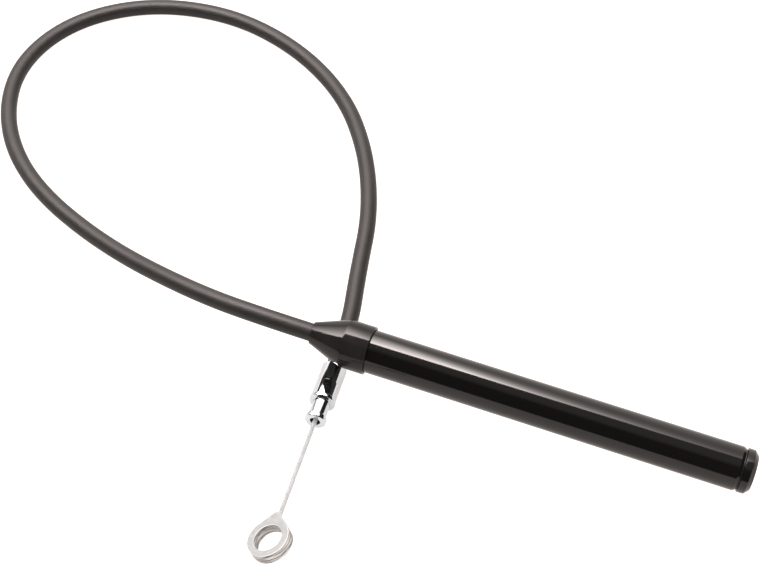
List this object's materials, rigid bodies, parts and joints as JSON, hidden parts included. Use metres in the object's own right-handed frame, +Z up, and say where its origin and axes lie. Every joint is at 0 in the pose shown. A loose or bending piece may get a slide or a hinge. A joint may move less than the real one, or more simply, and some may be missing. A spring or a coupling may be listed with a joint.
{
  "type": "control cable extension",
  "caption": "In-line control cable extension: slim tube with a screwed, slotted end cap, rubber boot, looped sheathed cable, stepped ferrule and ring eyelet.",
  "frame": {"origin": "on the floor, under the middle of the tube, boot and cap", "axes": "+X along the tube towards its end cap, +Z up, -Y towards the eyelet"},
  "size_m": [0.4807, 0.3595, 0.0366],
  "materials": {
    "anodised_black": "gloss black anodised",
    "boot_rubber": "satin moulded rubber",
    "cable_vinyl": "satin extruded vinyl",
    "conduit_steel": "flat-wound spring steel",
    "liner_white": "smooth low-friction plastic",
    "liner_black": "smooth low-friction plastic",
    "chrome": "mirror chrome plate",
    "wire_steel": "stranded galvanised wire",
    "cast_zinc": "as-cast zinc alloy with a linished face",
    "plain_aluminium": "machined",
    "zinc_plate": "bright zinc plated",
    "brass": "turned",
    "acetal": "machined acetal",
    "ring_rubber": "smooth nitrile"
  },
  "bodies": {
    "tube": {"connector_tube": "anodised_black", "cable_end_plug": "plain_aluminium", "housing_end_cap": "brass", "rubber_boot": "boot_rubber", "cable_jacket": "cable_vinyl", "cable_conduit": "conduit_steel", "cable_liner": "liner_white", "lever_ferrule": "chrome", "ferrule_liner": "liner_black"},
    "coupler": {"coupler_socket": "zinc_plate", "wire_barrel": "brass", "core_wire": "wire_steel", "coupler_rod": "zinc_plate", "rear_lock_nut": "zinc_plate", "front_lock_nut": "zinc_plate", "coupler_yoke": "plain_aluminium", "coupler_pin": "zinc_plate", "pin_clip": "zinc_plate", "rear_guide_ring": "acetal", "front_guide_ring": "acetal"},
    "lever_end": {"lever_wire": "wire_steel", "lever_eyelet": "cast_zinc"},
    "bush": {"eyelet_bush": "acetal"},
    "cap_ring": {"o_ring": "ring_rubber"},
    "cap": {"end_cap": "anodised_black"}
  },
  "joints": [
    {"name": "coupler_slide", "type": "slide", "parent": "tube", "child": "coupler", "axis": [-0.998, 0, 0.0628], "range_m": [-0.025, 0.014]},
    {"name": "lever_slide", "type": "slide", "parent": "tube", "child": "lever_end", "axis": [0.0645, -0.9978, 0.0175], "range_m": [-0.025, 0.014]},
    {"name": "bush_turn", "type": "hinge", "parent": "coupler", "child": "bush", "pos_m": [0.06313, 0, 0.01412], "axis": [0, 1, 0], "continuous": true},
    {"name": "cap_advance", "type": "slide", "parent": "tube", "child": "cap_ring", "axis": [0.998, 0, -0.0628], "range_m": [0, 0.0075]},
    {"name": "cap_unscrew", "type": "hinge", "parent": "cap_ring", "child": "cap", "pos_m": [0.10639, 0, 0.0114], "axis": [0.998, 0, -0.0628], "range_deg": [0, 1800]}
  ],
  "couplings": [
    {"joint": "lever_slide", "follows": "coupler_slide", "ratio": 1},
    {"joint": "cap_advance", "follows": "cap_unscrew", "m_per_rad": 0.00023873}
  ]
}
